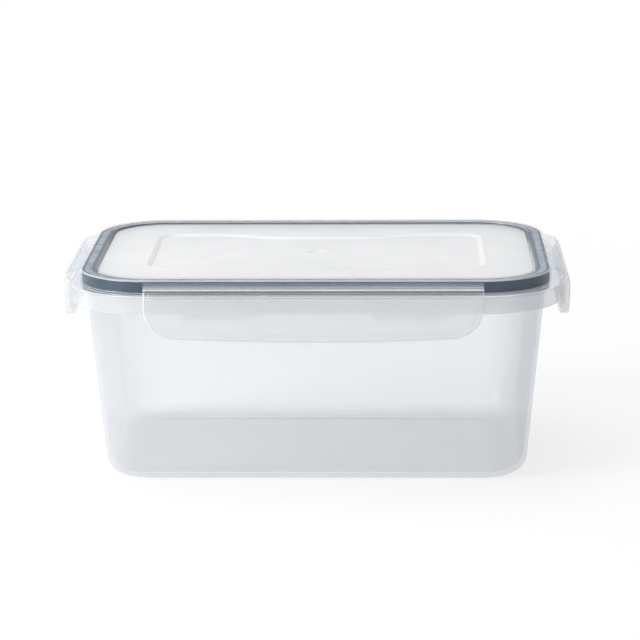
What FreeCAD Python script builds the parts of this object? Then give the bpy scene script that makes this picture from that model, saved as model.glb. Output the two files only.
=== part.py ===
import FreeCAD, Part
import math
import os

V = FreeCAD.Vector

# Overall size with the four clips closed
LENGTH = 210.0
WIDTH = 150.0
HEIGHT = 86.5

# Plan of the lid rim: every other outline is an offset of it
FLAP_STANDOFF = 7.8
RIM_CORNER = 29.7

# Lid
RIM_WALL = 0.9
RIM_ROOF = 1.1
RIM_DEPTH = 5.5
RIM_ROUND = 0.7
RIB_WALL = 0.9
RIB_DROP = 1.4
PLATE_DROP = 1.0
PLATE_THICKNESS = 1.6

# Waisted recess in the lid plate
PANEL_END_MARGIN = 27.2
PANEL_SIDE_MARGIN = 29.7
PANEL_CORNER = 8.0
PANEL_DEPTH = 0.8
PANEL_SLOPE = 1.6
WAIST_DEPTH = 7.5
WAIST_FLAT = 12.0
WAIST_RUN = 35.0
DIMPLE_RADIUS = 4.2
DIMPLE_DEPTH = 0.35

# Gasket
GASKET_WIDTH = 5.1
GASKET_LEG = 1.1
SEAL_GAP = 0.3

# Tub
TUB_WALL = 1.6
TUB_FLOOR = 1.8
TUB_TAPER = 7.9
TUB_ROUND = 9.0
LIP_HEIGHT = 1.6
SEAT_GAP = 0.3
FLANGE_THICKNESS = 1.4
FLANGE_ROUND = 0.8
SKIRT_REACH = 3.95
SKIRT_WALL = 1.3
SKIRT_DEPTH = 7.5
FOOT_WIDTH = 4.0
FOOT_HEIGHT = 0.8

# Hinge ledges and bending films
LEDGE_REACH = 5.0
LEDGE_THICKNESS = 1.2
LEDGE_ROOT_DROP = 0.6
LEDGE_END_DROP = 2.0
FILM_THICKNESS = 0.4
FILM_BEND = 1.0

# Clips
FLAP_MARGIN_LONG = 28.8
FLAP_MARGIN_SHORT = 31.2
FLAP_DROP = 20.5
FLAP_PLATE = 1.6
FLAP_FLARE = 5.9
FLAP_CORNER = 13.0
FLAP_BOW = 1.3
FLAP_GAP = 0.3
BEAD_WIDTH = 2.4
BEAD_TOP_GAP = 1.2
CATCH_MARGIN_LONG = 15.4
CATCH_MARGIN_SHORT = 8.1
CATCH_LENGTH_LONG = 29.0
CATCH_LENGTH_SHORT = 15.3
CATCH_BITE = 1.25
CATCH_HEIGHT = 1.5

# Levels and offsets that follow from the sizes above
RIM_LENGTH = LENGTH / 2 - FLAP_STANDOFF
RIM_WIDTH = WIDTH / 2 - FLAP_STANDOFF
RIM_BOTTOM = HEIGHT - RIM_DEPTH
GROOVE_TOP = HEIGHT - RIM_ROOF
GROOVE_OUTER = -RIM_WALL
GROOVE_INNER = GROOVE_OUTER - GASKET_WIDTH
RIB_INNER = GROOVE_INNER - RIB_WALL
PLATE_TOP = HEIGHT - PLATE_DROP
PLATE_BOTTOM = PLATE_TOP - PLATE_THICKNESS
FLANGE_TOP = RIM_BOTTOM - SEAT_GAP
LIP_TOP = FLANGE_TOP + LIP_HEIGHT
LIP_OUTER = GROOVE_OUTER - GASKET_LEG - SEAL_GAP
LIP_INNER = LIP_OUTER - TUB_WALL
SKIRT_BOTTOM = FLANGE_TOP - SKIRT_DEPTH
LEDGE_END = HEIGHT - LEDGE_END_DROP
FILM_LEVEL = LEDGE_END - LEDGE_THICKNESS / 2
FLAP_TOP = FILM_LEVEL - FILM_BEND
FLAP_BOTTOM = FLAP_TOP - FLAP_DROP
FLAP_INNER = SKIRT_REACH + FLAP_GAP
CATCH_TIP = SKIRT_REACH - CATCH_BITE
CATCH_TOP = SKIRT_BOTTOM - FLAP_GAP


def chain(edges):
    return Part.Wire(Part.__sortEdges__(edges))


def line(a, b):
    return Part.LineSegment(a, b).toShape()


def arc(centre, radius, start, end, z):
    points = []
    for angle in (start, (start + end) / 2, end):
        turn = math.radians(angle)
        points.append(V(centre[0] + radius * math.cos(turn), centre[1] + radius * math.sin(turn), z))
    return Part.Arc(*points).toShape()


def outline(offset, z):
    """The plan of the rim, moved outwards by offset."""
    half_x = RIM_LENGTH + offset
    half_y = RIM_WIDTH + offset
    radius = RIM_CORNER + offset
    x = half_x - radius
    y = half_y - radius
    edges = [
        line(V(half_x, -y, z), V(half_x, y, z)),
        arc((x, y), radius, 0, 90, z),
        line(V(x, half_y, z), V(-x, half_y, z)),
        arc((-x, y), radius, 90, 180, z),
        line(V(-half_x, y, z), V(-half_x, -y, z)),
        arc((-x, -y), radius, 180, 270, z),
        line(V(-x, -half_y, z), V(x, -half_y, z)),
        arc((x, -y), radius, 270, 360, z),
    ]
    return chain(edges)


def slab(offset, low, high):
    return Part.Face(outline(offset, low)).extrude(V(0, 0, high - low))


def ring(outer, inner, low, high):
    return slab(outer, low, high).cut(slab(inner, low, high))


def tapered(low_offset, high_offset, low, high):
    return Part.makeLoft([outline(low_offset, low), outline(high_offset, high)], True, True)


def level_edges(shape, z):
    return [e for e in shape.Edges if all(abs(v.Z - z) < 1e-6 for v in e.Vertexes)]


def joined(shapes):
    return shapes[0].multiFuse(shapes[1:]).removeSplitter()


def waisted(inset, z):
    """The plan of the recess in the lid, moved inwards by inset."""
    half_x = RIM_LENGTH - PANEL_END_MARGIN - inset
    end_y = RIM_WIDTH - PANEL_SIDE_MARGIN
    waist_y = end_y - WAIST_DEPTH
    swing = (WAIST_RUN ** 2 + WAIST_DEPTH ** 2) / (4 * WAIST_DEPTH)
    lean = math.degrees(math.asin(WAIST_RUN / (2 * swing)))
    outer_x = WAIST_FLAT + WAIST_RUN
    corner_x = half_x + inset - PANEL_CORNER
    corner_y = end_y - PANEL_CORNER
    quarter = [
        line(V(0, waist_y - inset, z), V(WAIST_FLAT, waist_y - inset, z)),
        arc((WAIST_FLAT, waist_y + swing), swing + inset, 270, 270 + lean, z),
        arc((outer_x, end_y - swing), swing - inset, 90 + lean, 90, z),
        line(V(outer_x, end_y - inset, z), V(corner_x, end_y - inset, z)),
        arc((corner_x, corner_y), PANEL_CORNER - inset, 90, 0, z),
        line(V(half_x, corner_y, z), V(half_x, 0, z)),
    ]
    edges = []
    for turned_x in (1, -1):
        for turned_y in (1, -1):
            turn = FreeCAD.Matrix()
            turn.scale(turned_x, turned_y, 1)
            edges += [e.transformGeometry(turn) for e in quarter]
    return chain(edges)


def make_tub():
    base = LIP_OUTER - TUB_TAPER
    body = tapered(base, LIP_OUTER, 0, FLANGE_TOP)
    body = body.makeFillet(TUB_ROUND, level_edges(body, 0))
    rise = TUB_TAPER * TUB_FLOOR / FLANGE_TOP
    space = tapered(base + rise - TUB_WALL, LIP_INNER, TUB_FLOOR, FLANGE_TOP)
    space = space.makeFillet(TUB_ROUND - TUB_WALL, level_edges(space, TUB_FLOOR))
    flange = slab(SKIRT_REACH, SKIRT_BOTTOM, FLANGE_TOP)
    flange = flange.makeFillet(FLANGE_ROUND, level_edges(flange, FLANGE_TOP))
    under = slab(SKIRT_REACH - SKIRT_WALL, SKIRT_BOTTOM, FLANGE_TOP - FLANGE_THICKNESS)
    lip = slab(LIP_OUTER, FLANGE_TOP, LIP_TOP)
    mouth = slab(LIP_INNER, FLANGE_TOP, LIP_TOP)
    foot = base - TUB_ROUND - FOOT_WIDTH
    solid = joined([body, flange.cut(under), lip])
    return solid.cut(space).cut(mouth).cut(slab(foot, 0, FOOT_HEIGHT)).removeSplitter()


def make_gasket():
    block = ring(GROOVE_OUTER, GROOVE_INNER, RIM_BOTTOM, GROOVE_TOP)
    slot = ring(LIP_OUTER + SEAL_GAP, LIP_INNER - SEAL_GAP, RIM_BOTTOM, LIP_TOP)
    return block.cut(slot)


def make_ledge(distance, half_width):
    root = distance - RIM_WALL / 2
    end = distance + LEDGE_REACH
    root_top = HEIGHT - LEDGE_ROOT_DROP
    points = [
        V(root, -half_width, root_top),
        V(distance, -half_width, root_top),
        V(end, -half_width, LEDGE_END),
        V(end, -half_width, LEDGE_END - LEDGE_THICKNESS),
        V(distance, -half_width, root_top - LEDGE_THICKNESS),
        V(root, -half_width, root_top - LEDGE_THICKNESS),
    ]
    return Part.Face(Part.makePolygon(points + points[:1])).extrude(V(0, 2 * half_width, 0))


def make_lid():
    rim = slab(0, RIM_BOTTOM - RIB_DROP, HEIGHT)
    rim = rim.makeFillet(RIM_ROUND, level_edges(rim, HEIGHT))
    rim = rim.cut(slab(RIB_INNER, RIM_BOTTOM - RIB_DROP, HEIGHT))
    rim = rim.cut(ring(SKIRT_REACH, GROOVE_INNER, RIM_BOTTOM - RIB_DROP, RIM_BOTTOM))
    rim = rim.cut(ring(GROOVE_OUTER, GROOVE_INNER, RIM_BOTTOM, GROOVE_TOP))
    plate = slab(RIB_INNER + RIB_WALL / 2, PLATE_BOTTOM, PLATE_TOP)
    pan = Part.makeLoft(
        [waisted(0, PLATE_BOTTOM), waisted(PANEL_SLOPE, PLATE_BOTTOM - PANEL_DEPTH)], True, True)
    recess = Part.makeLoft(
        [waisted(0, PLATE_TOP), waisted(PANEL_SLOPE, PLATE_TOP - PANEL_DEPTH)], True, True)
    dimple = Part.makeCylinder(
        DIMPLE_RADIUS, DIMPLE_DEPTH, V(0, 0, PLATE_TOP - PANEL_DEPTH - DIMPLE_DEPTH))
    ledges = []
    for outward, (distance, half_width, margin, run) in SIDES.values():
        ledges.append(turned(make_ledge(distance, half_width), outward))
    return joined([rim, plate, pan] + ledges).cut(recess).cut(dimple).removeSplitter()


def make_film(distance, half_width):
    start = distance + LEDGE_REACH
    centre = FILM_LEVEL - FILM_BEND
    outer = FILM_BEND + FILM_THICKNESS / 2
    inner = FILM_BEND - FILM_THICKNESS / 2
    lean = math.sqrt(0.5)

    def bend(radius):
        points = [V(start, -half_width, centre + radius),
                  V(start + radius * lean, -half_width, centre + radius * lean),
                  V(start + radius, -half_width, centre)]
        return Part.Arc(*points).toShape()

    edges = [bend(outer), bend(inner)]
    edges.append(line(V(start, -half_width, centre + inner), V(start, -half_width, centre + outer)))
    edges.append(line(V(start + inner, -half_width, centre), V(start + outer, -half_width, centre)))
    return Part.Face(chain(edges)).extrude(V(0, 2 * half_width, 0))


def flap_face(half_width, inset, near, far):
    """The rounded face of a clip, thick from near to far along X."""
    half = half_width - inset
    radius = FLAP_CORNER - inset
    low = FLAP_BOTTOM + inset
    side_low = low + FLAP_BOW
    turn = radius * (1 - math.sqrt(0.5))
    left = [V(near, -half, FLAP_TOP), V(near, -half, side_low + radius),
            V(near, -half + turn, side_low + turn), V(near, -half + radius, side_low)]
    right = [V(p.x, -p.y, p.z) for p in left]
    edges = [
        line(left[0], left[1]),
        Part.Arc(left[1], left[2], left[3]).toShape(),
        Part.Arc(left[3], V(near, 0, low), right[3]).toShape(),
        Part.Arc(right[3], right[2], right[1]).toShape(),
        line(right[1], right[0]),
        line(right[0], left[0]),
    ]
    return Part.Face(chain(edges)).extrude(V(far - near, 0, 0))


def make_flap(distance, half_width, catch_margin, catch_length):
    face = distance + FLAP_STANDOFF
    inner = distance + FLAP_INNER
    top_face = distance + LEDGE_REACH + FILM_BEND + FLAP_PLATE / 2
    lean_in = face - top_face
    radius = (FLAP_FLARE ** 2 + lean_in ** 2) / (2 * lean_in)
    axis = V(face - radius, -half_width, FLAP_TOP - FLAP_FLARE)
    roller = Part.makeCylinder(radius, 2 * half_width, axis, V(0, 1, 0))
    hollow = Part.makeCylinder(radius - FLAP_PLATE, 2 * half_width, axis, V(0, 1, 0))
    shoulder = Part.makeBox(radius, 2 * half_width, FLAP_FLARE, axis)
    shoulder = shoulder.common(roller).cut(hollow)
    skin = Part.makeBox(FLAP_PLATE, 2 * half_width, FLAP_DROP - FLAP_FLARE,
                        V(face - FLAP_PLATE, -half_width, FLAP_BOTTOM))
    plate = joined([shoulder, skin]).common(flap_face(half_width, 0, inner - FLAP_STANDOFF, face))
    bead = flap_face(half_width, 0, inner, face - FLAP_PLATE / 2)
    bead = bead.cut(flap_face(half_width, BEAD_WIDTH, inner, face))
    bead = bead.cut(Part.makeBox(FLAP_STANDOFF, 2 * half_width, FLAP_FLARE,
                                 V(inner, -half_width, FLAP_TOP - BEAD_TOP_GAP)))
    bead = bead.cut(shoulder_outside(axis, radius, half_width))
    catches = []
    reach = FLAP_STANDOFF - FLAP_PLATE / 2 - CATCH_TIP
    for start in (half_width - catch_margin - catch_length, catch_margin - half_width):
        catches.append(Part.makeBox(reach, catch_length, CATCH_HEIGHT,
                                    V(distance + CATCH_TIP, start, CATCH_TOP - CATCH_HEIGHT)))
    return joined([plate, bead] + catches)


def shoulder_outside(axis, radius, half_width):
    """The space in front of the curved shoulder of a clip."""
    block = Part.makeBox(2 * radius, 2 * half_width, FLAP_FLARE, axis)
    return block.cut(Part.makeCylinder(radius - FLAP_PLATE / 2, 2 * half_width, axis, V(0, 1, 0)))


def turned(shape, outward):
    """A copy of what was made for the right-hand side, turned to the side that faces outward."""
    copy = shape.copy()
    copy.rotate(V(0, 0, 0), V(0, 0, 1), math.degrees(math.atan2(outward.y, outward.x)))
    return copy


# Each side: rim distance, half width of its clip, then the end margin and length of its catches
LONG_SIDE = (RIM_WIDTH, RIM_LENGTH - FLAP_MARGIN_LONG, CATCH_MARGIN_LONG, CATCH_LENGTH_LONG)
SHORT_SIDE = (RIM_LENGTH, RIM_WIDTH - FLAP_MARGIN_SHORT, CATCH_MARGIN_SHORT, CATCH_LENGTH_SHORT)
SIDES = {
    "right": (V(1, 0, 0), SHORT_SIDE),
    "back": (V(0, 1, 0), LONG_SIDE),
    "left": (V(-1, 0, 0), SHORT_SIDE),
    "front": (V(0, -1, 0), LONG_SIDE),
}

nodes = {"tub": make_tub(), "lid": make_lid(), "gasket": make_gasket()}
for side, (outward, (distance, half_width, margin, run)) in SIDES.items():
    nodes[side + "_flap"] = turned(make_flap(distance, half_width, margin, run), outward)
    nodes[side + "_hinge_film"] = turned(make_film(distance, half_width), outward)

os.makedirs("parts", exist_ok=True)
for name, shape in nodes.items():
    shape.exportStep("parts/" + name + ".step")
    box = shape.BoundBox
    print(name, len(shape.Solids), shape.isValid(), round(shape.Volume), box)
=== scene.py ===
import math
from types import SimpleNamespace

import bmesh
import bpy
from bpy.props import FloatProperty, FloatVectorProperty, IntProperty, PointerProperty
from mathutils import Matrix, Vector


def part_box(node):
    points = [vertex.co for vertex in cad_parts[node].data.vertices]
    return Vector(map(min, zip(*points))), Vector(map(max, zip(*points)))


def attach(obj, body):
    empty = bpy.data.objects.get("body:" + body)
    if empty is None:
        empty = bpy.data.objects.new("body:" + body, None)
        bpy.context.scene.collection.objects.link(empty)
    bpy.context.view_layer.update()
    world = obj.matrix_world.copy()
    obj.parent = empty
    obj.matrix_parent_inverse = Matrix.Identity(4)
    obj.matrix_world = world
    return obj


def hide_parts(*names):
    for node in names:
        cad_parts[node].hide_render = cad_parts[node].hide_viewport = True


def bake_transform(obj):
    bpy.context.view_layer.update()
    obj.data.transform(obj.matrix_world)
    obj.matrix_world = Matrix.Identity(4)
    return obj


bl_info = {
    "name": "Clip-lid food box",
    "version": (1, 0, 0),
    "blender": (4, 5, 0),
    "location": "View3D > Sidebar > Food box",
    "description": "Dresses the packed food box: tub, lid, seal, clips and bending hinges",
    "category": "Object",
}

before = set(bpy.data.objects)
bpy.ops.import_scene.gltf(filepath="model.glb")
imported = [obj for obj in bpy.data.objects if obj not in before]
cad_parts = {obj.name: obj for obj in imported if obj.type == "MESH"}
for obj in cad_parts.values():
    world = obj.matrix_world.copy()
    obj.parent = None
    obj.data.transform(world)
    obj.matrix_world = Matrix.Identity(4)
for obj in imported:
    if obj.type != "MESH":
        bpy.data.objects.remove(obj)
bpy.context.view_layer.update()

MERGE = 1e-6  # metres within which points are one
WHITE = (1.0, 1.0, 1.0)

# The turn of each side from the right-hand one.
SIDES = {
    "right": 0.0,
    "back": math.pi / 2,
    "left": math.pi,
    "front": -math.pi / 2,
}


def length(name, default, description):
    """A size in metres that a user may change."""
    return FloatProperty(name=name, description=description, default=default, unit="LENGTH", precision=5)


def colour(name, default, description):
    """A colour that a user may change."""
    return FloatVectorProperty(name=name, description=description, default=default, subtype="COLOR",
                               size=3, min=0.0, max=1.0)


class FoodBoxSizes(bpy.types.PropertyGroup):
    """Lengths of the box's pieces"""
    rim_corner: length("Rim corner", 0.0297, "Plan radius of the lid rim's corners")
    rim_wall: length("Rim wall", 0.0009, "Thickness of the rim's outer wall and inner rib")
    rim_round: length("Rim round", 0.001, "Rounding of the rim's top edges")
    rim_roof: length("Rim roof", 0.0004, "Plastic that shows over the seal, foreshortened as the eye sees it")
    plate_drop: length("Plate drop", 0.001, "How far the lid plate lies below the rim")
    plate_thickness: length("Plate thickness", 0.0016, "Thickness of the lid plate")
    panel_end_margin: length("Panel end margin", 0.0272, "Rim to recess, along the box")
    panel_side_margin: length("Panel side margin", 0.0297, "Rim to recess, across the box")
    panel_corner: length("Panel corner", 0.008, "Plan radius of the recess corners")
    panel_depth: length("Panel depth", 0.0008, "Depth of the recess in the lid")
    panel_slope: length("Panel slope", 0.0022, "Width of the soft edge round the recess")
    line_width: length("Line width", 0.001, "Width of the raised line round recess and dimple")
    line_height: length("Line height", 0.0002, "Height of the raised line round recess and dimple")
    waist_depth: length("Waist depth", 0.0075, "How far the recess draws in at its middle")
    waist_flat: length("Waist flat", 0.012, "Half length of the straight waist")
    waist_run: length("Waist run", 0.035, "Length of the curve from waist to end")
    dimple_radius: length("Dimple radius", 0.0037, "Radius of the gate dimple in the lid")
    dimple_depth: length("Dimple depth", 0.00035, "Depth of the gate dimple")
    tub_wall: length("Tub wall", 0.0016, "Thickness of the tub's wall")
    tub_floor: length("Tub floor", 0.0018, "Thickness of the tub's floor")
    tub_taper: length("Tub taper", 0.0079, "How far each wall leans in from rim to floor")
    tub_round: length("Tub round", 0.009, "Rounding between wall and floor")
    lip_height: length("Lip height", 0.0016, "Height of the sealing lip")
    flange_thickness: length("Flange thickness", 0.0014, "Thickness of the flange under the lid")
    skirt_wall: length("Skirt wall", 0.0013, "Thickness of the skirt")
    skirt_depth: length("Skirt depth", 0.0075, "Height of the skirt below the flange top")
    foot_width: length("Foot width", 0.004, "Width of the foot ring")
    foot_height: length("Foot height", 0.0008, "Height of the foot ring")
    seal_width: length("Seal width", 0.0051, "Width of the soft seal and its groove")
    seal_gap: length("Seal gap", 0.0003, "Clearance between the seal's legs and the lip")
    seal_leg: length("Seal leg", 0.0011, "Thickness of the seal's outer leg")
    ledge_thickness: length("Ledge thickness", 0.0012, "Thickness of the hinge ledges")
    ledge_root_drop: length("Ledge root drop", 0.0006, "Rim top to ledge at the rim")
    ledge_end_drop: length("Ledge end drop", 0.002, "Rim top to ledge at the hinge")
    film_bend: length("Film bend", 0.001, "Bend radius of a closed hinge film")
    film_thickness: length("Film thickness", 0.0004, "Thickness of the hinge films")
    flap_plate: length("Clip plate", 0.0016, "Thickness of a clip's plate")
    flap_flare: length("Clip flare", 0.0059, "Height of a clip's curved shoulder")
    flap_corner: length("Clip corner", 0.013, "Radius of a clip's lower corners")
    flap_bow: length("Clip bow", 0.0013, "How far a clip's lower edge bows down")
    bead_width: length("Bead width", 0.0024, "Width of the bead round a clip")
    catch_height: length("Catch height", 0.0015, "Height of the catch ledges")
    catch_margin_long: length("Long catch margin", 0.0154, "End of a long clip to its catch")
    catch_margin_short: length("Short catch margin", 0.0081, "End of a short clip to its catch")
    catch_length_long: length("Long catch length", 0.029, "Length of a catch on a long clip")
    catch_length_short: length("Short catch length", 0.0153, "Length of a catch on a short clip")
    corner_steps: IntProperty(name="Corner steps", description="Points on each rounded plan corner",
                              default=28, min=4, max=64)


class FoodBoxColours(bpy.types.PropertyGroup):
    """Colours of the plastics, the seal and the floor"""
    tub_haze: colour("Tub haze", (0.885, 0.893, 0.91), "Colour of the clear plastic's haze")
    lid_haze: colour("Lid haze", (0.91, 0.91, 0.91), "Colour of the lid's milky plastic")
    lid_thin_haze: colour("Thin lid haze", (0.76, 0.87, 0.98), "Colour of the haze where the lid is clear")
    clip_haze: colour("Clip haze", (0.915, 0.91, 0.905), "Colour of the clips' milky plastic")
    seal: colour("Seal", (0.047, 0.072, 0.104), "Colour of the soft seal")
    # The seal sheen colour is a painted sheen: it paints a paler streaky band on the seal's upward faces.
    seal_sheen: colour("Seal sheen", (0.37, 0.43, 0.5), "Colour of the paler band along the seal's top")
    floor: colour("Floor", (0.93, 0.93, 0.93), "Colour of the floor")


class FoodBoxStage(bpy.types.PropertyGroup):
    """The camera's lens and the strength of the light"""
    lens: FloatProperty(name="Lens", description="Focal length in millimetres on a 36 mm sensor",
                        default=162.22, min=10.0)
    key_power: FloatProperty(name="Key power", description="Power of the large lamp on the left",
                             default=8.0, min=0.0, unit="POWER")
    top_power: FloatProperty(name="Top power", description="Power of the overhead lamp",
                             default=5.2, min=0.0, unit="POWER")
    world_strength: FloatProperty(name="World strength", description="Even light from all round",
                                  default=1.0, min=0.0)


def plan():
    """Levels of the box and distances out from its rim, from the frame's boxes and the user's sizes."""
    s = bpy.context.scene.food_box_sizes
    seal_low, seal_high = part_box("gasket")
    lid_low, lid_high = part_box("lid")
    tub_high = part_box("tub")[1]
    p = SimpleNamespace(s=s)
    p.rim_x = seal_high[0] + s.rim_wall
    p.rim_y = seal_high[1] + s.rim_wall
    p.top = lid_high[2]
    p.rib_bottom = lid_low[2]
    p.rim_bottom = seal_low[2]
    p.groove_top = lid_high[2] - s.rim_roof
    p.groove_inner = -s.rim_wall - s.seal_width
    p.rib_inner = p.groove_inner - s.rim_wall
    p.plate_top = p.top - s.plate_drop
    p.plate_bottom = p.plate_top - s.plate_thickness
    p.lip_top = tub_high[2]
    p.flange_top = p.lip_top - s.lip_height
    p.lip_outer = -s.rim_wall - s.seal_leg - s.seal_gap
    p.lip_inner = p.lip_outer - s.tub_wall
    p.skirt_outer = tub_high[0] - p.rim_x
    p.skirt_bottom = p.flange_top - s.skirt_depth
    p.ledge_reach = lid_high[0] - p.rim_x
    p.film_level = p.top - s.ledge_end_drop - s.ledge_thickness / 2
    return p


def side_sizes(p, side):
    """Rim distance, half width and the levels of one clip, in the frame of the right-hand side."""
    low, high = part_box(side + "_flap")
    across = 1 if side in ("left", "right") else 0
    out = 1 - across
    q = SimpleNamespace(turn=SIDES[side])
    q.distance = p.rim_x if out == 0 else p.rim_y
    q.half = (high[across] - low[across]) / 2
    q.face = max(abs(low[out]), abs(high[out]))
    q.catch_tip = min(abs(low[out]), abs(high[out]))
    q.top = high[2]
    q.bottom = low[2]
    q.bead = q.distance + p.skirt_outer + p.s.seal_gap
    q.hinge = q.distance + p.ledge_reach
    q.catch_margin = p.s.catch_margin_short if across == 1 else p.s.catch_margin_long
    q.catch_length = p.s.catch_length_short if across == 1 else p.s.catch_length_long
    return q


def rounded(corners, steps=6):
    """Points along a line of (x, z, radius) corners, with an arc at each corner that has a radius."""
    points = []
    for n, (x, z, radius) in enumerate(corners):
        here = Vector((x, z))
        if radius <= 0 or n in (0, len(corners) - 1):
            points.append(here)
            continue
        back = Vector(corners[n - 1][:2]) - here
        on = Vector(corners[n + 1][:2]) - here
        half = back.angle(on) / 2
        reach = min(radius / math.tan(half), 0.49 * back.length, 0.49 * on.length)
        size = reach * math.tan(half)
        middle = here + (back.normalized() + on.normalized()).normalized() * (size / math.sin(half))
        start = here + back.normalized() * reach - middle
        end = here + on.normalized() * reach - middle
        sweep = start.angle_signed(end)
        for k in range(steps + 1):
            turn = -sweep * k / steps
            c, w = math.cos(turn), math.sin(turn)
            points.append(middle + Vector((c * start.x - w * start.y, w * start.x + c * start.y)))
    return points


def closed_rounded(corners, steps=4):
    """The same for a closed outline."""
    ring = [corners[-1]] + list(corners) + [corners[0]]
    return rounded(ring, steps)[1:-1]


def node(tree, kind, **values):
    """A new node with its settings."""
    made = tree.nodes.new(kind)
    for key, value in values.items():
        setattr(made, key, value)
    return made


def combined(tree, operation, first, second):
    """One number from two, each a socket or a constant."""
    made = node(tree, "ShaderNodeMath", operation=operation)
    for place, value in zip(made.inputs, (first, second)):
        if isinstance(value, float):
            place.default_value = value
        else:
            tree.links.new(value, place)
    return made.outputs[0]


def tree_with(name, sizes):
    """A new Geometry Nodes tree with a curve or mesh input, named sizes and a material."""
    tree = bpy.data.node_groups.new(name, "GeometryNodeTree")
    face = tree.interface
    face.new_socket("Geometry", in_out="INPUT", socket_type="NodeSocketGeometry")
    for label, kind in sizes:
        face.new_socket(label, in_out="INPUT", socket_type=kind)
    face.new_socket("Material", in_out="INPUT", socket_type="NodeSocketMaterial")
    face.new_socket("Geometry", in_out="OUTPUT", socket_type="NodeSocketGeometry")
    return tree, node(tree, "NodeGroupInput"), node(tree, "NodeGroupOutput")


def end_tree(tree, given, result, socket):
    """Realize Instances and Set Material at the end of a tree."""
    real = node(tree, "GeometryNodeRealizeInstances")
    paint = node(tree, "GeometryNodeSetMaterial")
    tree.links.new(socket, real.inputs["Geometry"])
    tree.links.new(real.outputs["Geometry"], paint.inputs["Geometry"])
    tree.links.new(given.outputs["Material"], paint.inputs["Material"])
    tree.links.new(paint.outputs["Geometry"], result.inputs["Geometry"])


def rim_sweep_tree():
    """Sweeps the profile once round the rounded plan of the rim."""
    name = "Rim sweep"
    if name in bpy.data.node_groups:
        return bpy.data.node_groups[name]
    real = "NodeSocketFloat"
    tree, given, result = tree_with(
        name, [("Length", real), ("Width", real), ("Corner", real), ("Steps", "NodeSocketInt")])
    plan_curve = node(tree, "GeometryNodeCurvePrimitiveQuadrilateral", mode="RECTANGLE")
    corner = node(tree, "GeometryNodeFilletCurve", mode="POLY")
    upright = node(tree, "GeometryNodeSetCurveNormal", mode="Z_UP")
    sweep = node(tree, "GeometryNodeCurveToMesh")
    link = tree.links.new
    link(given.outputs["Length"], plan_curve.inputs["Width"])
    link(given.outputs["Width"], plan_curve.inputs["Height"])
    link(plan_curve.outputs["Curve"], corner.inputs["Curve"])
    link(given.outputs["Corner"], corner.inputs["Radius"])
    link(given.outputs["Steps"], corner.inputs["Count"])
    link(corner.outputs["Curve"], upright.inputs["Curve"])
    link(upright.outputs["Curve"], sweep.inputs["Curve"])
    link(given.outputs["Geometry"], sweep.inputs["Profile Curve"])
    end_tree(tree, given, result, sweep.outputs["Mesh"])
    return tree


def edge_bar_tree():
    """Sweeps the profile along one side of the box, as a row of equal bars."""
    name = "Edge bars"
    if name in bpy.data.node_groups:
        return bpy.data.node_groups[name]
    real = "NodeSocketFloat"
    tree, given, result = tree_with(
        name, [("Bar length", real), ("Spread", real), ("Count", "NodeSocketInt"), ("Turn", real)])
    link = tree.links.new
    run = node(tree, "GeometryNodeCurvePrimitiveLine", mode="POINTS")
    upright = node(tree, "GeometryNodeSetCurveNormal", mode="Z_UP")
    sweep = node(tree, "GeometryNodeCurveToMesh")
    sweep.inputs["Fill Caps"].default_value = True
    places = node(tree, "GeometryNodeMeshLine", mode="OFFSET")
    row = node(tree, "GeometryNodeInstanceOnPoints")
    turned = node(tree, "GeometryNodeTransform", mode="COMPONENTS")

    def along(axis, label, share=1.0):
        vector = node(tree, "ShaderNodeCombineXYZ")
        link(combined(tree, "MULTIPLY", given.outputs[label], share), vector.inputs[axis])
        return vector.outputs[0]

    link(along("Y", "Bar length", -0.5), run.inputs["Start"])
    link(along("Y", "Bar length", 0.5), run.inputs["End"])
    link(run.outputs["Curve"], upright.inputs["Curve"])
    link(upright.outputs["Curve"], sweep.inputs["Curve"])
    link(given.outputs["Geometry"], sweep.inputs["Profile Curve"])
    link(given.outputs["Count"], places.inputs["Count"])
    link(along("Y", "Spread", -0.5), places.inputs["Start Location"])
    link(along("Y", "Spread"), places.inputs["Offset"])
    link(places.outputs["Mesh"], row.inputs["Points"])
    link(sweep.outputs["Mesh"], row.inputs["Instance"])
    link(row.outputs["Instances"], turned.inputs["Geometry"])
    link(along("Z", "Turn"), turned.inputs["Rotation"])
    end_tree(tree, given, result, turned.outputs["Geometry"])
    return tree


def profile(name, points, closed):
    """A flat curve: X is the distance out from the rim or the middle, and Y runs down the height."""
    data = bpy.data.curves.new(name, "CURVE")
    data.dimensions = "3D"
    spline = data.splines.new("POLY")
    spline.points.add(len(points) - 1)
    for point, (x, z) in zip(spline.points, points):
        point.co = (x, -z, 0.0, 1.0)
    spline.use_cyclic_u = closed
    made = bpy.data.objects.new(name, data)
    bpy.context.collection.objects.link(made)
    return made


def grown(source, tree, name, **values):
    """The plain mesh object that a tree grows from source, which is removed."""
    modifier = source.modifiers.new(tree.name, "NODES")
    modifier.node_group = tree
    known = {i.name: i.identifier for i in tree.interface.items_tree if i.in_out == "INPUT"}
    for label, value in values.items():
        modifier[known[label.replace("_", " ")]] = value
    made = plain(source, name)
    bpy.data.objects.remove(source)
    return made


def plain(source, name):
    """A mesh object with what source shows, its modifiers done."""
    bpy.context.view_layer.update()
    ready = source.evaluated_get(bpy.context.evaluated_depsgraph_get())
    mesh = bpy.data.meshes.new_from_object(ready)
    mesh.name = name
    made = bpy.data.objects.new(name, mesh)
    bpy.context.collection.objects.link(made)
    return made


def from_bmesh(bm, name, material):
    """A mesh object of one material from a mesh being worked on."""
    mesh = bpy.data.meshes.new(name)
    bm.to_mesh(mesh)
    bm.free()
    mesh.materials.append(material)
    made = bpy.data.objects.new(name, mesh)
    bpy.context.collection.objects.link(made)
    return made


def opened(piece):
    """The mesh of a piece to work on, with its doubles merged."""
    bm = bmesh.new()
    bm.from_mesh(piece.data)
    bmesh.ops.remove_doubles(bm, verts=bm.verts, dist=MERGE)
    return bm


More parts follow.
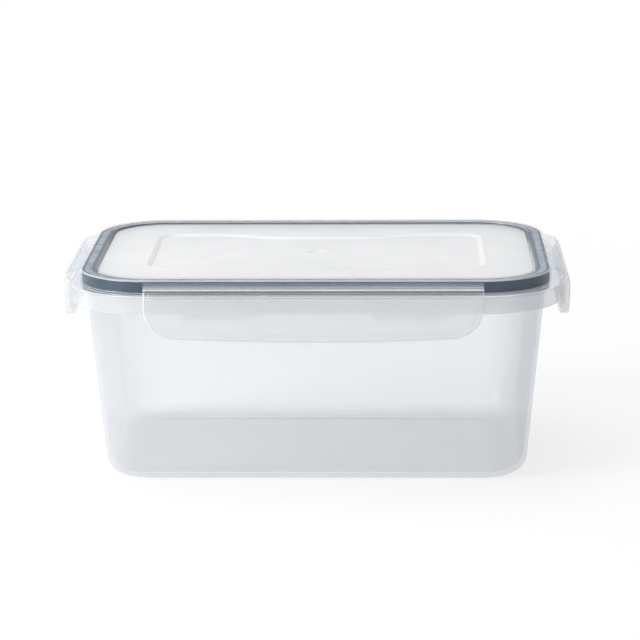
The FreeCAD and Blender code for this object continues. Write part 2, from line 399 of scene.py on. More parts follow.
def put_back(bm, piece):
    """The end of work on the mesh of a piece."""
    bm.to_mesh(piece.data)
    bm.free()


def softened(piece, angle):
    """The piece with smooth shading that breaks at sharp edges and keeps its large faces flat."""
    bm = opened(piece)
    bmesh.ops.recalc_face_normals(bm, faces=bm.faces)
    for face in bm.faces:
        face.smooth = True
    for edge in bm.edges:
        edge.smooth = len(edge.link_faces) == 2 and edge.calc_face_angle(0.0) < math.radians(angle)
    put_back(bm, piece)
    weigh = piece.modifiers.new("Weigh", "WEIGHTED_NORMAL")
    weigh.mode = "FACE_AREA"
    weigh.weight = 90
    weigh.keep_sharp = True
    return replaced(piece, [])


def joined(piece, others):
    """One closed mesh from piece and the pieces that run into it."""
    for other in others:
        union = piece.modifiers.new("Join", "BOOLEAN")
        union.operation = "UNION"
        union.solver = "EXACT"
        union.object = other
    return replaced(piece, others)


def replaced(piece, others):
    """The piece with its modifiers done, in place of itself and others."""
    name = piece.name
    made = plain(piece, name + "_made")
    for old in [piece] + others:
        bpy.data.objects.remove(old)
    made.name = name
    made.data.name = name
    return made


def boundary_loops(bm):
    """The open edge loops of a mesh, as lists of edges."""
    left = {e for e in bm.edges if e.is_boundary}
    loops = []
    while left:
        loop, queue = [], [left.pop()]
        while queue:
            edge = queue.pop()
            loop.append(edge)
            for vert in edge.verts:
                for near in vert.link_edges:
                    if near in left:
                        left.remove(near)
                        queue.append(near)
        loops.append(loop)
    return loops


def loop_height(loop):
    """The mean height of a loop of edges."""
    return sum(v.co.z for e in loop for v in e.verts) / (2 * len(loop))


def ring_of(bm, points, z):
    """The vertices and edges of a closed outline at one height."""
    verts = [bm.verts.new((x, y, z)) for x, y in points]
    edges = [bm.edges.new((a, b)) for a, b in zip(verts, verts[1:] + verts[:1])]
    return verts, edges


def bridge(bm, rings):
    """Faces from each ring to the next."""
    for (first, _), (second, _) in zip(rings, rings[1:]):
        count = len(first)
        for n in range(count):
            m = (n + 1) % count
            bm.faces.new((first[n], first[m], second[m], second[n]))


def quarter_turns(steps):
    """Angles from nought to a right angle."""
    return [math.pi / 2 * k / steps for k in range(steps + 1)]


def waisted(p, inset, steps=10):
    """The plan of the recess in the lid, moved inwards by inset."""
    s = p.s
    half_x = p.rim_x - s.panel_end_margin
    end_y = p.rim_y - s.panel_side_margin
    waist_y = end_y - s.waist_depth
    swing = (s.waist_run ** 2 + s.waist_depth ** 2) / (4 * s.waist_depth)
    lean = math.asin(s.waist_run / (2 * swing))
    outer_x = s.waist_flat + s.waist_run
    quarter = []
    for k in range(steps + 1):
        turn = lean * k / steps
        quarter.append((s.waist_flat + (swing + inset) * math.sin(turn),
                        waist_y + swing - (swing + inset) * math.cos(turn)))
    for k in range(1, steps + 1):
        turn = lean * (1 - k / steps)
        quarter.append((outer_x - (swing - inset) * math.sin(turn),
                        end_y - swing + (swing - inset) * math.cos(turn)))
    for turn in quarter_turns(steps):
        quarter.append((half_x - s.panel_corner + (s.panel_corner - inset) * math.sin(turn),
                        end_y - s.panel_corner + (s.panel_corner - inset) * math.cos(turn)))
    right = quarter + [(x, -y) for x, y in reversed(quarter)]
    return right + [(-x, -y) for x, y in right]


def circle(radius, count=40):
    """Points round the middle of the lid."""
    turns = [2 * math.pi * k / count for k in range(count)]
    return [(radius * math.sin(turn), radius * math.cos(turn)) for turn in turns]


def ease(t):
    """A soft start and end between nought and one."""
    t = min(max(t, 0.0), 1.0)
    return t * t * (3 - 2 * t)


# The section of the raised line: shares of its width outwards and of its height.
RAISED_LINE = ((1.0, 0.0), (0.75, 0.5), (0.5, 1.0), (0.2, 0.9))


def fill_panel(bm, p, loop, z, topside):
    """The lid plate inside an open loop: a soft-edged recess, and on top its raised line and gate dimple."""
    s = p.s
    slope_steps, bowl_steps, bowl_wall = 8, 5, 0.3
    rings = []
    if topside:
        for out, share in RAISED_LINE:
            rings.append(ring_of(bm, waisted(p, -s.line_width * out), z + s.line_height * share))
    for k in range(slope_steps + 1):
        t = k / slope_steps
        rings.append(ring_of(bm, waisted(p, s.panel_slope * t), z - s.panel_depth * ease(t)))
    bmesh.ops.triangle_fill(bm, use_beauty=True, edges=loop + rings[0][1])
    bridge(bm, rings)
    if not topside:
        bm.faces.new(rings[-1][0])
        return
    low = z - s.panel_depth
    bowl = []
    for out, share in RAISED_LINE:
        radius = s.dimple_radius + s.line_width * out
        bowl.append(ring_of(bm, circle(radius), low + s.line_height * share))
    for k in range(bowl_steps + 1):
        t = k / bowl_steps
        radius = s.dimple_radius * (1 - bowl_wall * t)
        bowl.append(ring_of(bm, circle(radius), low - s.dimple_depth * ease(t)))
    bmesh.ops.triangle_fill(bm, use_beauty=True, edges=rings[-1][1] + bowl[0][1])
    bridge(bm, bowl)
    bm.faces.new(bowl[-1][0])


def swept(name, p, corners, material, closed=False, steps=6):
    """A section carried once round the rim, with rounded corners."""
    points = closed_rounded(corners, steps) if closed else rounded(corners, steps)
    return grown(profile(name + "_profile", points, closed), rim_sweep_tree(), name,
                 Length=2 * p.rim_x, Width=2 * p.rim_y, Corner=p.s.rim_corner,
                 Steps=p.s.corner_steps, Material=material)


def bars(name, q, corners, material, bar, spread=0.0, count=1, steps=4):
    """A section carried along one side of the box, as one bar or a row of them."""
    points = closed_rounded(corners, steps)
    return grown(profile(name + "_profile", points, True), edge_bar_tree(), name,
                 Bar_length=bar, Spread=spread, Count=count, Turn=q.turn, Material=material)


def place_on(tree, kind, axis=None):
    """Texture coordinates of one kind, or one axis of them."""
    place = node(tree, "ShaderNodeTexCoord").outputs[kind]
    if axis is None:
        return place
    parts = node(tree, "ShaderNodeSeparateXYZ")
    tree.links.new(place, parts.inputs[0])
    return parts.outputs[axis]


def mapped(tree, socket, start, end, low, high, **values):
    """A value carried from the range of start and end to that of low and high."""
    made = node(tree, "ShaderNodeMapRange", **values)
    limits = {"From Min": start, "From Max": end, "To Min": low, "To Max": high}
    for label, value in limits.items():
        made.inputs[label].default_value = value
    tree.links.new(socket, made.inputs["Value"])
    return made.outputs["Result"]


def stepped(tree, socket, start, end, low=0.0, high=1.0):
    """A soft step from low, at start, to high, at end."""
    return mapped(tree, socket, start, end, low, high, interpolation_type="SMOOTHSTEP")


def level(tree, start, end, low, high):
    """A soft step with the height on the piece."""
    return stepped(tree, place_on(tree, "Object", "Z"), start, end, low, high)


def slanted(tree, blend, low, high, power=1.0):
    """A factor that goes from low, face on, to high, edge on, and is the same from both sides."""
    slant = node(tree, "ShaderNodeLayerWeight")
    slant.inputs["Blend"].default_value = blend
    curve = combined(tree, "POWER", slant.outputs["Facing"], power)
    return mapped(tree, curve, 0.0, 1.0, low, high)


# What a noise node mostly gives.
NOISE_LOW, NOISE_HIGH = 0.3, 0.7


def value_noise(tree, scale, detail, low=0.0, high=1.0):
    """A soft noise between low and high, fixed to the piece."""
    noise = node(tree, "ShaderNodeTexNoise")
    noise.inputs["Scale"].default_value = scale
    noise.inputs["Detail"].default_value = detail
    tree.links.new(place_on(tree, "Object"), noise.inputs["Vector"])
    return mapped(tree, noise.outputs["Fac"], NOISE_LOW, NOISE_HIGH, low, high)


def moulded_bump(tree, shaders, scale, strength):
    """The faint orange-peel of a moulded surface."""
    bump = node(tree, "ShaderNodeBump")
    bump.inputs["Strength"].default_value = strength
    bump.inputs["Distance"].default_value = 0.0002
    tree.links.new(value_noise(tree, scale, detail=3.0), bump.inputs["Height"])
    for shader in shaders:
        tree.links.new(bump.outputs["Normal"], shader.inputs["Normal"])


def new_material(name):
    """A material with only its output node."""
    made = bpy.data.materials.new(name)
    made.use_nodes = True
    made.node_tree.nodes.clear()
    return made, made.node_tree, node(made.node_tree, "ShaderNodeOutputMaterial")


def mixed(tree, factor, first, second):
    """A shader between two, by a socket or a constant."""
    mix = node(tree, "ShaderNodeMixShader")
    if isinstance(factor, float):
        mix.inputs["Fac"].default_value = factor
    else:
        tree.links.new(factor, mix.inputs["Fac"])
    tree.links.new(first, mix.inputs[1])
    tree.links.new(second, mix.inputs[2])
    return mix.outputs[0]


def colour_mix(tree, factor, first, second):
    """A colour between two, each a socket or a constant."""
    mix = node(tree, "ShaderNodeMix", data_type="RGBA")
    tree.links.new(factor, mix.inputs["Factor"])
    for label, value in (("A", first), ("B", second)):
        if isinstance(value, bpy.types.NodeSocket):
            tree.links.new(value, mix.inputs[label])
        else:
            mix.inputs[label].default_value = (*value, 1.0)
    return mix.outputs["Result"]


def vector_chain(tree, socket, *steps):
    """A vector after a row of (operation, constant) steps."""
    for operation, constant in steps:
        made = node(tree, "ShaderNodeVectorMath", operation=operation)
        tree.links.new(socket, made.inputs[0])
        if constant is not None:
            made.inputs[1].default_value = constant
        socket = made.outputs["Value" if operation == "LENGTH" else "Vector"]
    return socket


def rim_offset(tree):
    """How far a point lies outside the plan of the rim, and below zero inside it."""
    p = plan()
    corner = p.s.rim_corner
    reach = vector_chain(
        tree, place_on(tree, "Object"),
        ("MULTIPLY", (1.0, 1.0, 0.0)),
        ("ABSOLUTE", None),
        ("SUBTRACT", (p.rim_x - corner, p.rim_y - corner, 0.0)),
        ("MAXIMUM", (0.0, 0.0, 0.0)),
        ("LENGTH", None))
    return combined(tree, "SUBTRACT", reach, corner)


def highlight_edge_mask(tree, start, upright_too, softness=0.1):
    """One on rounded edges and nought on the faces between them, from the normal's direction: where the white
    highlight is painted.
    """
    normal = place_on(tree, "Normal")
    square = node(tree, "ShaderNodeVectorMath", operation="MULTIPLY")
    parts = node(tree, "ShaderNodeSeparateXYZ")
    tree.links.new(normal, square.inputs[0])
    tree.links.new(normal, square.inputs[1])
    tree.links.new(square.outputs["Vector"], parts.inputs[0])
    x, y, z = parts.outputs
    turned = combined(tree, "MULTIPLY", combined(tree, "ADD", x, y), z)
    if upright_too:
        turned = combined(tree, "ADD", turned, combined(tree, "MULTIPLY", x, y))
    return stepped(tree, turned, start, start + softness)


# What the three plastics share.
PLASTIC_IOR = 1.49
CLEAR_TINT = (0.985, 0.99, 0.993)
GLOSS_TINT = (0.97, 0.98, 1.0)
HAZE_BLEND = 0.25
GLOSS_BLEND = 0.5
GLOSS_FACE_ON = 0.02
GLOSS_CURVE = 5.0
POLISH = 0.95
POLISH_CURVE = 2.0
GLOW_SHARE = 0.45
HIGHLIGHT_FROM, HIGHLIGHT_FULL = 0.02, 0.03  # heights between which the painted white highlights on rounded edges come in


def hazy_plastic(name, haze_colour, *, face_on, edge_on, mirror, rough, edges, highlight_start, milky,
                 slant_tint, upright_highlights=False, polished=None, thin_haze=None):
    """See-through moulded plastic: clear to look through, hazier at a slant, a painted white highlight on its
    rounded edges and a gloss on top.

    The share of haze goes from face_on to edge_on, and is at least milky, and edges on rounded edges, where
    that white haze is a painted highlight.
    """
    if name in bpy.data.materials:
        return bpy.data.materials[name]
    made, tree, out = new_material(name)
    link = tree.links.new
    clear = node(tree, "ShaderNodeBsdfTransparent")
    slant = slanted(tree, HAZE_BLEND, 0.0, 1.0)
    link(colour_mix(tree, slant, CLEAR_TINT, slant_tint), clear.inputs["Color"])
    body = node(tree, "ShaderNodeBsdfPrincipled")
    body.inputs["Base Color"].default_value = (*haze_colour, 1.0)
    body.inputs["IOR"].default_value = PLASTIC_IOR
    glow = node(tree, "ShaderNodeBsdfTranslucent")
    glow.inputs["Color"].default_value = (*haze_colour, 1.0)
    gloss = node(tree, "ShaderNodeBsdfGlossy")
    gloss.inputs["Color"].default_value = (*GLOSS_TINT, 1.0)
    roughness = value_noise(tree, 55.0, 4.0, rough * 0.8, rough * 1.3)
    link(roughness, body.inputs["Roughness"])
    link(roughness, gloss.inputs["Roughness"])
    moulded_bump(tree, (body, gloss), scale=260.0, strength=0.01)

    # Painted highlight: rounded edges get a large share of white haze, standing in for the light they catch.
    edge = highlight_edge_mask(tree, highlight_start, upright_highlights)
    white = combined(tree, "MULTIPLY", edge, level(tree, HIGHLIGHT_FROM, HIGHLIGHT_FULL, 0.0, edges))
    milkiness = milky(tree)
    if thin_haze is not None:
        # The painted edge highlights keep the plain haze colour, not the thin one.
        thick, highlighted = stepped(tree, milkiness, 0.3, 0.8), stepped(tree, white, 0.0, 0.15)
        cast = colour_mix(tree, combined(tree, "MAXIMUM", thick, highlighted), thin_haze, haze_colour)
        link(cast, body.inputs["Base Color"])
        link(cast, glow.inputs["Color"])
    share = combined(tree, "MAXIMUM", slanted(tree, HAZE_BLEND, face_on, edge_on), milkiness)
    share = combined(tree, "MULTIPLY", share, value_noise(tree, 14.0, 2.0, 0.88, 1.12))
    share = combined(tree, "MAXIMUM", share, white)
    milk = mixed(tree, GLOW_SHARE, body.outputs[0], glow.outputs[0])
    haze = mixed(tree, share, clear.outputs[0], milk)
    mirrored = slanted(tree, GLOSS_BLEND, GLOSS_FACE_ON, mirror, GLOSS_CURVE)
    if polished is not None:
        sheen = slanted(tree, GLOSS_BLEND, 0.0, POLISH, POLISH_CURVE)
        mirrored = combined(tree, "MAXIMUM", mirrored, combined(tree, "MULTIPLY", polished(tree), sheen))
    link(mixed(tree, mirrored, haze, gloss.outputs[0]), out.inputs["Surface"])
    return made


# Shares of haze. They keep clear of 0.25, where the denoiser starts to take a hazy face for a solid one.
PLATE_HAZE = 0.88
LEDGE_HAZE = 0.19
SKIRT_HAZE = 0.31
CLIP_HAZE = 0.34


def plate_milk(tree):
    """The lid is milky inside its rim, clear over the seal and a little hazy in its hinge ledges."""
    offset = rim_offset(tree)
    inside = plan().rib_inner
    plate = stepped(tree, offset, inside - 0.0012, inside - 0.0002, PLATE_HAZE, 0.0)
    ledges = stepped(tree, offset, 0.0002, 0.0008, 0.0, LEDGE_HAZE)
    return combined(tree, "MAXIMUM", plate, ledges)


def skirt_milk(tree):
    """The tub is milky in its flange and skirt, and clear below them."""
    low = plan().skirt_bottom
    return level(tree, low - 0.0008, low + 0.0002, 0.0, SKIRT_HAZE)


def flange_polish(tree):
    """The flat top of the flange, under the seal, is polished."""
    high = plan().flange_top
    return level(tree, high - 0.0004, high - 0.0001, 0.0, 1.0)


def clip_milk(tree):
    """A clip is milky below the lid and clear where it bends over to its hinge."""
    high = plan().flange_top
    return level(tree, high - 0.0008, high + 0.0006, CLIP_HAZE, 0.0)


def tub_plastic():
    return hazy_plastic(
        "clear_tub_plastic", bpy.context.scene.food_box_colours.tub_haze,
        face_on=0.06, edge_on=0.46, mirror=0.55, rough=0.09, edges=0.5, highlight_start=0.04,
        milky=skirt_milk, slant_tint=(0.86, 0.872, 0.885), polished=flange_polish)


def lid_plastic():
    colours = bpy.context.scene.food_box_colours
    return hazy_plastic(
        "milky_lid_plastic", colours.lid_haze,
        face_on=0.01, edge_on=0.02, mirror=0.12, rough=0.11, edges=0.65, highlight_start=0.05,
        milky=plate_milk, slant_tint=(0.95, 0.955, 0.96), thin_haze=colours.lid_thin_haze)


def clip_plastic():
    return hazy_plastic(
        "milky_clip_plastic", bpy.context.scene.food_box_colours.clip_haze,
        face_on=0.03, edge_on=0.55, mirror=0.4, rough=0.12, edges=0.7, highlight_start=0.12,
        milky=clip_milk, slant_tint=(0.88, 0.89, 0.9), upright_highlights=True)


def soft_seal(name, base, sheen):
    """Dark satin silicone, with a painted sheen along its top where it stands off the lid: a paler streaky
    band on its upward faces.
    """
    if name in bpy.data.materials:
        return bpy.data.materials[name]
    s = plan().s
    made, tree, out = new_material(name)
    link = tree.links.new
    body = node(tree, "ShaderNodeBsdfPrincipled")
    body.inputs["IOR"].default_value = 1.41
    body.inputs["Specular IOR Level"].default_value = 0.2
    dark, pale = [c * 0.8 for c in base], [min(1.0, c * 1.2) for c in base]
    mottle = colour_mix(tree, value_noise(tree, 90.0, 3.0), dark, pale)
    middle = -s.rim_wall - s.seal_width / 2
    aside = combined(tree, "ABSOLUTE", combined(tree, "SUBTRACT", rim_offset(tree), middle), 0.0)
    # Painted sheen: paler streaks along the middle of the seal's upward-facing top, standing in for light
    # caught there.
    band = stepped(tree, aside, s.seal_width * 0.14, s.seal_width * 0.34, 1.0, 0.0)
    sheen_streaks = combined(tree, "MULTIPLY", band, value_noise(tree, 210.0, 2.0, 0.35, 1.0))
    sheen_on_top = stepped(tree, place_on(tree, "Normal", "Z"), 0.8, 0.98)
    paler = colour_mix(tree, combined(tree, "MULTIPLY", sheen_streaks, sheen_on_top), mottle, sheen)
    link(paler, body.inputs["Base Color"])
    link(value_noise(tree, 160.0, 3.0, 0.3, 0.42), body.inputs["Roughness"])
    moulded_bump(tree, (body,), scale=900.0, strength=0.05)
    link(body.outputs[0], out.inputs["Surface"])
    return made


def dress(piece, body, node_name):
    """The body that a piece rides on and the CAD node it stands for."""
    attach(piece, body)
    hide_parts(node_name)


class FOODBOX_OT_tub(bpy.types.Operator):
    """Build the clear tub: floor, walls, sealing lip, flange and skirt in one skin"""
    bl_idname = "foodbox.tub"
    bl_label = "Tub"

    def execute(self, context):
        p = plan()
        s = p.s
        base = p.lip_outer - s.tub_taper
        floor_edge = -s.rim_corner + 0.0035
        foot = base - s.tub_round - s.foot_width
        foot_slope, foot_round = 0.0003, 0.0004
        under = p.flange_top - s.flange_thickness
        inside = p.skirt_outer - s.skirt_wall
        flange_root, flange_round, mouth_round = 0.0007, 0.0009, 0.004
        skirt_root, skirt_inner_round, skirt_outer_round = 0.0006, 0.0004, 0.0005
        lip_root, lip_round = 0.0004, 0.0005
        rise = s.tub_taper / p.flange_top
        corners = [
            (floor_edge, s.foot_height, 0),
            (foot - foot_slope, s.foot_height, foot_round),
            (foot + foot_slope, 0.0, foot_round),
            (base, 0.0, s.tub_round),
            (base + rise * under, under, flange_root),
            (inside, under, skirt_root),
            (inside, p.skirt_bottom, skirt_inner_round),
            (p.skirt_outer, p.skirt_bottom, skirt_outer_round),
            (p.skirt_outer, p.flange_top, flange_round),
            (p.lip_outer, p.flange_top, lip_root),
            (p.lip_outer, p.lip_top, lip_round),
            (p.lip_inner, p.lip_top, lip_round),
            (p.lip_inner, p.flange_top, mouth_round),
            (base + rise * s.tub_floor - s.tub_wall, s.tub_floor, s.tub_round - s.tub_wall),
            (floor_edge, s.tub_floor, 0),
        ]
        piece = swept("tub_shell", p, corners, tub_plastic(), steps=8)
        bm = opened(piece)
        for loop in boundary_loops(bm):
            bmesh.ops.contextual_create(bm, geom=loop)
        put_back(bm, piece)
        piece = softened(piece, angle=40.0)
        dress(piece, "tub", "tub")
        return {"FINISHED"}


class FOODBOX_OT_lid(bpy.types.Operator):
    """Build the milky lid: rim, seal groove, waisted plate and the hinge ledges"""
    bl_idname = "foodbox.lid"
    bl_label = "Lid"

    def execute(self, context):
        p = plan()
        s = p.s
        plate_edge = p.rib_inner - 0.003
        rim_lean = 0.0001
        fine, wall_round, groove_round, rib_root = 0.0003, 0.00025, 0.0001, 0.0006
        corners = [
            (plate_edge, p.plate_top, 0),
            (p.rib_inner, p.plate_top, fine),
            (p.rib_inner + rim_lean, p.top, fine),
            (0.0, p.top, s.rim_round),
            (0.0, p.rim_bottom, fine),
            (-s.rim_wall, p.rim_bottom, wall_round),
            (-s.rim_wall, p.groove_top, groove_round),
            (p.groove_inner, p.groove_top, groove_round),
            (p.groove_inner, p.rib_bottom, fine),
            (p.rib_inner, p.rib_bottom, fine),
            (p.rib_inner, p.plate_bottom, rib_root),
            (plate_edge, p.plate_bottom, 0),
        ]
        material = lid_plastic()
        piece = swept("lid_shell", p, corners, material, steps=5)
        bm = opened(piece)
        loops = sorted(boundary_loops(bm), key=loop_height)
        fill_panel(bm, p, loops[1], p.plate_top, topside=True)
        fill_panel(bm, p, loops[0], p.plate_bottom, topside=False)
        bmesh.ops.recalc_face_normals(bm, faces=bm.faces)
        put_back(bm, piece)
        ledges = []
        for side in SIDES:
            q = side_sizes(p, side)
            root = q.distance - s.rim_wall / 2
            root_top = p.top - s.ledge_root_drop
            end_top = p.top - s.ledge_end_drop
            section = [
                (root, root_top, 0.0),
                (q.distance, root_top, 0.0),
                (q.hinge, end_top, fine),
                (q.hinge, end_top - s.ledge_thickness, fine),
                (q.distance, root_top - s.ledge_thickness, 0.0),
                (root, root_top - s.ledge_thickness, 0.0),
            ]
            ledges.append(bars("ledge_" + side, q, section, material, bar=2 * q.half))
        piece = softened(joined(piece, ledges), angle=40.0)
        dress(piece, "lid", "lid")
        return {"FINISHED"}


class FOODBOX_OT_seal(bpy.types.Operator):
    """Build the dark soft seal in the groove of the lid"""
    bl_idname = "foodbox.seal"
    bl_label = "Seal"

    def execute(self, context):
        p = plan()
        s = p.s
        ease_in = 0.00004
        outer = -s.rim_wall - ease_in
        inner = p.groove_inner + ease_in
        top = p.groove_top - ease_in
        slot_top = p.lip_top + ease_in
        slot_outer = p.lip_outer + s.seal_gap
        slot_inner = p.lip_inner - s.seal_gap
        foot = (p.rim_bottom + 4 * p.flange_top) / 5
        fine, leg_round, shoulder = 0.0003, 0.0004, 0.0006
        corners = [
            (outer, foot, fine),
            (outer, top, shoulder),
            (inner, top, shoulder),
            (inner, p.rim_bottom, leg_round),
            (slot_inner, p.rim_bottom, leg_round),
            (slot_inner, slot_top, fine),
            (slot_outer, slot_top, fine),
            (slot_outer, foot, fine),
        ]
        colours = context.scene.food_box_colours
        material = soft_seal("dark_soft_seal", colours.seal, colours.seal_sheen)
        piece = swept("soft_seal", p, corners, material, closed=True, steps=4)
        piece = softened(piece, angle=50.0)
        dress(piece, "lid", "gasket")
        return {"FINISHED"}


def clip_half(p, q, inset, rows=10, turns=10, span=14):
    """Points down the left edge of a clip's face, from its hinge to the middle of its lower edge."""
    s = p.s
    half = q.half - inset
    radius = s.flap_corner - inset
    low = q.bottom + inset
    side_low = low + s.flap_bow
    flare = q.top - s.flap_flare
    points = [(-half, q.top - s.flap_flare * k / rows) for k in range(rows + 1)]
    points.append((-half, (flare + side_low + radius) / 2))
    for turn in quarter_turns(turns):
        points.append((-half + radius * (1 - math.cos(turn)), side_low + radius * (1 - math.sin(turn))))
    reach = half - radius
    for k in range(1, span + 1):
        t = 1 - k / span
        points.append((-reach * t, low + s.flap_bow * t * t))
    return points


def clip_mesh(p, q):
    """A clip in the frame of the right-hand side: curved shoulder, rounded face and an inner bead."""
    s = p.s
    lean_in = q.face - (q.hinge + s.film_bend + s.flap_plate / 2)
    radius = (s.flap_flare ** 2 + lean_in ** 2) / (2 * lean_in)
    flare = q.top - s.flap_flare
    edge, edge_steps = 0.0009, 5
    bead_drop, bead_fade = 0.0004, 0.003
    width = s.bead_width
    # Distances in from the clip's edge, and the share of the bead's height there.
    bead_section = [
        (0.0, 0.82), (0.00005, 0.93), (0.0003, 1.0), (width - 0.0004, 1.0), (width - 0.0001, 0.9),
        (width, 0.7), (width + 0.00005, 0.25), (width + 0.0004, 0.0),
    ]

    def skin(z, depth):
        rise = max(0.0, z - flare)
        return q.face - radius + math.sqrt((radius - depth) ** 2 - rise ** 2)

    def bead(z, share):
        back = skin(z, s.flap_plate)
        grow = ease((q.top - bead_drop - z) / bead_fade)
        return back - grow * share * (back - q.bead)

    rings = []
    for turn in quarter_turns(edge_steps):
        inset = edge * (1 - math.sin(turn))
        depth = edge * (1 - math.cos(turn))
        rings.append([(skin(z, depth), v, z) for v, z in clip_half(p, q, inset)])
    for inset, share in bead_section:
        rings.append([(bead(z, share), v, z) for v, z in clip_half(p, q, inset)])
    bm = bmesh.new()
    left, right = [], []
    for ring in rings:
        one = [bm.verts.new(point) for point in ring]
        two = [bm.verts.new((x, -y, z)) for x, y, z in ring[:-1]] + [one[-1]]
        left.append(one)
        right.append(two)
    for half in (left, right):
        for one, two in zip(half, half[1:]):
            for n in range(len(one) - 1):
                bm.faces.new((one[n], one[n + 1], two[n + 1], two[n]))
    for one, two in ((left[0], right[0]), (left[-1], right[-1])):
        for n in range(len(one) - 2):
            bm.faces.new((one[n], one[n + 1], two[n + 1], two[n]))
        bm.faces.new((one[-2], one[-1], two[-2]))
    bm.faces.new([half[0] for half in left] + [half[0] for half in reversed(right)])
    bmesh.ops.recalc_face_normals(bm, faces=bm.faces)
    bmesh.ops.rotate(bm, verts=bm.verts, cent=(0, 0, 0), matrix=Matrix.Rotation(q.turn, 3, "Z"))
    return bm


class FOODBOX_OT_clips(bpy.types.Operator):
    """Build the four clips with their beads and catch ledges"""
    bl_idname = "foodbox.clips"
    bl_label = "Clips"

    def execute(self, context):
        p = plan()
        s = p.s
        material = clip_plastic()
        tip_round, heel_round = 0.0005, 0.0006
        for side in SIDES:
            q = side_sizes(p, side)
            piece = from_bmesh(clip_mesh(p, q), "clip_" + side, material)
            high = p.skirt_bottom - s.seal_gap
            low = high - s.catch_height
            back = q.face - s.flap_plate / 2
            section = [
                (q.catch_tip, high, tip_round),
                (back, high, 0.0),
                (back, low, 0.0),
                (q.catch_tip, low, heel_round),
            ]
            spread = 2 * (q.half - q.catch_margin) - q.catch_length
            catches = bars("catch_" + side, q, section, material, bar=q.catch_length, spread=spread, count=2)
            piece = softened(joined(piece, [catches]), angle=35.0)
            dress(piece, side + "_flap", side + "_flap")
        return {"FINISHED"}


class FOODBOX_OT_hinges(bpy.types.Operator):
    """Build the thin films, bent round in an arc, between the lid and the clips"""
    bl_idname = "foodbox.hinges"
    bl_label = "Hinge films"

    def execute(self, context):
        p = plan()
        s = p.s
        material = clip_plastic()
        for side in SIDES:
            q = side_sizes(p, side)
            centre = p.film_level - s.film_bend
            outer = s.film_bend + s.film_thickness / 2
            inner = s.film_bend - s.film_thickness / 2
            turns = quarter_turns(12)
            section = [(q.hinge + outer * math.sin(t), centre + outer * math.cos(t), 0.0) for t in turns]
            section += [(q.hinge + inner * math.sin(t), centre + inner * math.cos(t), 0.0)
                        for t in reversed(turns)]
            piece = bars("hinge_" + side, q, section, material, bar=2 * q.half)
            piece = softened(piece, angle=40.0)
            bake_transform(piece)
            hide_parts(side + "_hinge_film")
        return {"FINISHED"}


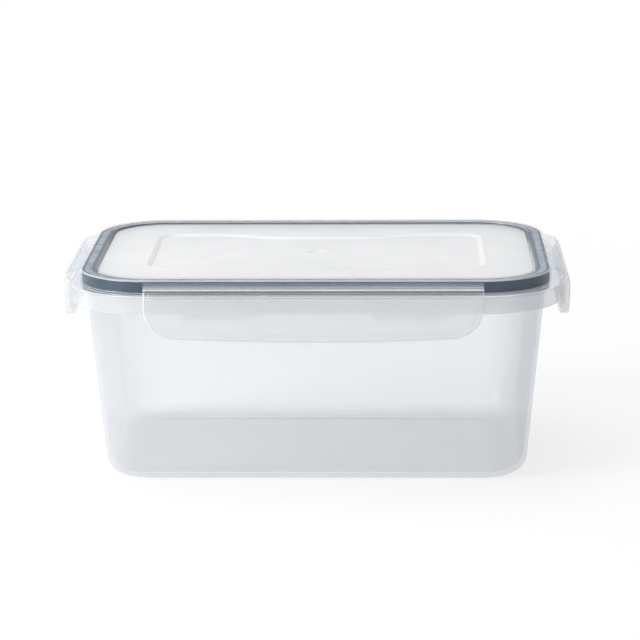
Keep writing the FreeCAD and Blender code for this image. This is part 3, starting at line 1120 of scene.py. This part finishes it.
class FOODBOX_OT_stage(bpy.types.Operator):
    """Set the floor, the soft lamps, the world and the camera"""
    bl_idname = "foodbox.stage"
    bl_label = "Stage"

    def execute(self, context):
        scene = context.scene
        stage = scene.food_box_stage
        floor_material, tree, out = new_material("studio_floor")
        pale = node(tree, "ShaderNodeBsdfDiffuse")
        pale.inputs["Color"].default_value = (*scene.food_box_colours.floor, 1.0)
        white = node(tree, "ShaderNodeEmission")
        white.inputs["Strength"].default_value = 1.0
        share = combined(tree, "MULTIPLY", self.seen_rays(tree), self.far_share(tree))
        tree.links.new(mixed(tree, share, pale.outputs[0], white.outputs[0]), out.inputs["Surface"])
        mesh = bpy.data.meshes.new("studio_floor")
        reach, low = 6.0, -0.0002
        corners = [(-reach, -reach, low), (reach, -reach, low), (reach, reach, low), (-reach, reach, low)]
        mesh.from_pydata(corners, [], [(0, 1, 2, 3)])
        mesh.materials.append(floor_material)
        floor = bpy.data.objects.new("studio_floor", mesh)
        context.collection.objects.link(floor)

        world = bpy.data.worlds.new("studio_world")
        world.use_nodes = True
        scene.world = world
        tree = world.node_tree
        tree.nodes.clear()
        out = node(tree, "ShaderNodeOutputWorld")
        lit = self.background(tree, stage.world_strength, self.side_shade(tree))
        bright = self.background(tree, 1.0)
        tree.links.new(mixed(tree, self.seen_rays(tree), lit, bright), out.inputs["Surface"])

        self.lamp("key_lamp", place=(-0.8, -0.45, 0.42), size=(0.45, 0.75), power=stage.key_power)
        self.lamp("top_lamp", place=(0.0, 0.3, 1.2), size=(1.0, 0.8), power=stage.top_power)

        data = bpy.data.cameras.new("photo_camera")
        data.lens = stage.lens
        data.sensor_width = 36.0
        data.clip_start = 0.01
        data.clip_end = 50.0
        camera = bpy.data.objects.new("photo_camera", data)
        context.collection.objects.link(camera)
        camera.matrix_world = self.camera_place()
        scene.camera = camera
        scene.view_settings.view_transform = "Standard"
        return {"FINISHED"}

    @staticmethod
    def side_shade(tree):
        """The studio round the box: white on the left and a cool grey on the right."""
        across = stepped(tree, place_on(tree, "Generated", "X"), -0.12, 0.12)
        return colour_mix(tree, across, WHITE, (0.12, 0.14, 0.17))

    @staticmethod
    def background(tree, strength, tint=None):
        """Light from all round, white unless a tint is linked."""
        made = node(tree, "ShaderNodeBackground")
        made.inputs["Color"].default_value = (*WHITE, 1.0)
        made.inputs["Strength"].default_value = strength
        if tint is not None:
            tree.links.new(tint, made.inputs["Color"])
        return made.outputs[0]

    @staticmethod
    def far_share(tree):
        """How white the floor looks: some of its own colour near the box, plain white further off."""
        reach = vector_chain(tree, place_on(tree, "Object"), ("LENGTH", None))
        return stepped(tree, reach, 0.12, 0.6, 0.72, 1.0)

    @staticmethod
    def seen_rays(tree):
        """A factor for rays that show the backdrop: straight from the camera, mirrored or through glass."""
        path = node(tree, "ShaderNodeLightPath")
        total = path.outputs["Is Camera Ray"]
        for name in ("Is Glossy Ray", "Is Transmission Ray"):
            total = combined(tree, "MAXIMUM", total, path.outputs[name])
        return total

    @staticmethod
    def lamp(name, place, size, power, aim=(0.0, 0.0, 0.05)):
        """A soft rectangular lamp that points at the box."""
        data = bpy.data.lights.new(name, "AREA")
        data.shape = "RECTANGLE"
        data.size, data.size_y = size
        data.energy = power
        lamp = bpy.data.objects.new(name, data)
        bpy.context.collection.objects.link(lamp)
        lamp.location = place
        lamp.rotation_euler = (Vector(aim) - Vector(place)).to_track_quat("-Z", "Y").to_euler()

    @staticmethod
    def camera_place():
        """The photograph's viewpoint: a long lens a little above the lid."""
        pitch, yaw, roll = math.radians(12.57), math.radians(-1.57), math.radians(-0.38)
        ahead = Vector((math.sin(yaw) * math.cos(pitch), math.cos(yaw) * math.cos(pitch), -math.sin(pitch)))
        right = Vector((math.cos(yaw), -math.sin(yaw), 0.0))
        up = right.cross(ahead)
        aim, distance, aside, above = Vector((0.0, 0.0, 0.042)), 1.23364, 0.00071, 0.01294
        eye = aim - ahead * distance + right * aside + up * above
        c, w = math.cos(roll), math.sin(roll)
        turned_right = right * c + up * w
        turned_up = up * c - right * w
        place = Matrix((turned_right, turned_up, -ahead)).transposed().to_4x4()
        place.translation = eye
        return place


class FOODBOX_PT_panel(bpy.types.Panel):
    """The steps that dress the food box"""
    bl_idname = "FOODBOX_PT_panel"
    bl_label = "Food box"
    bl_space_type = "VIEW_3D"
    bl_region_type = "UI"
    bl_category = "Food box"

    def draw(self, context):
        layout = self.layout
        for step in STEPS:
            layout.operator(step.bl_idname)
        for group in ("food_box_sizes", "food_box_colours", "food_box_stage"):
            box = layout.box()
            settings = getattr(context.scene, group)
            for key in settings.__annotations__:
                box.prop(settings, key)


STEPS = (FOODBOX_OT_tub, FOODBOX_OT_lid, FOODBOX_OT_seal, FOODBOX_OT_clips, FOODBOX_OT_hinges,
         FOODBOX_OT_stage)
CLASSES = (FoodBoxSizes, FoodBoxColours, FoodBoxStage) + STEPS + (FOODBOX_PT_panel,)


def register():
    for one in CLASSES:
        bpy.utils.register_class(one)
    bpy.types.Scene.food_box_sizes = PointerProperty(type=FoodBoxSizes)
    bpy.types.Scene.food_box_colours = PointerProperty(type=FoodBoxColours)
    bpy.types.Scene.food_box_stage = PointerProperty(type=FoodBoxStage)


def unregister():
    del bpy.types.Scene.food_box_stage
    del bpy.types.Scene.food_box_colours
    del bpy.types.Scene.food_box_sizes
    for one in reversed(CLASSES):
        bpy.utils.unregister_class(one)


def main():
    register()
    bpy.ops.foodbox.stage()
    bpy.ops.foodbox.tub()
    bpy.ops.foodbox.lid()
    bpy.ops.foodbox.seal()
    bpy.ops.foodbox.clips()
    bpy.ops.foodbox.hinges()


if __name__ == "__main__":
    main()
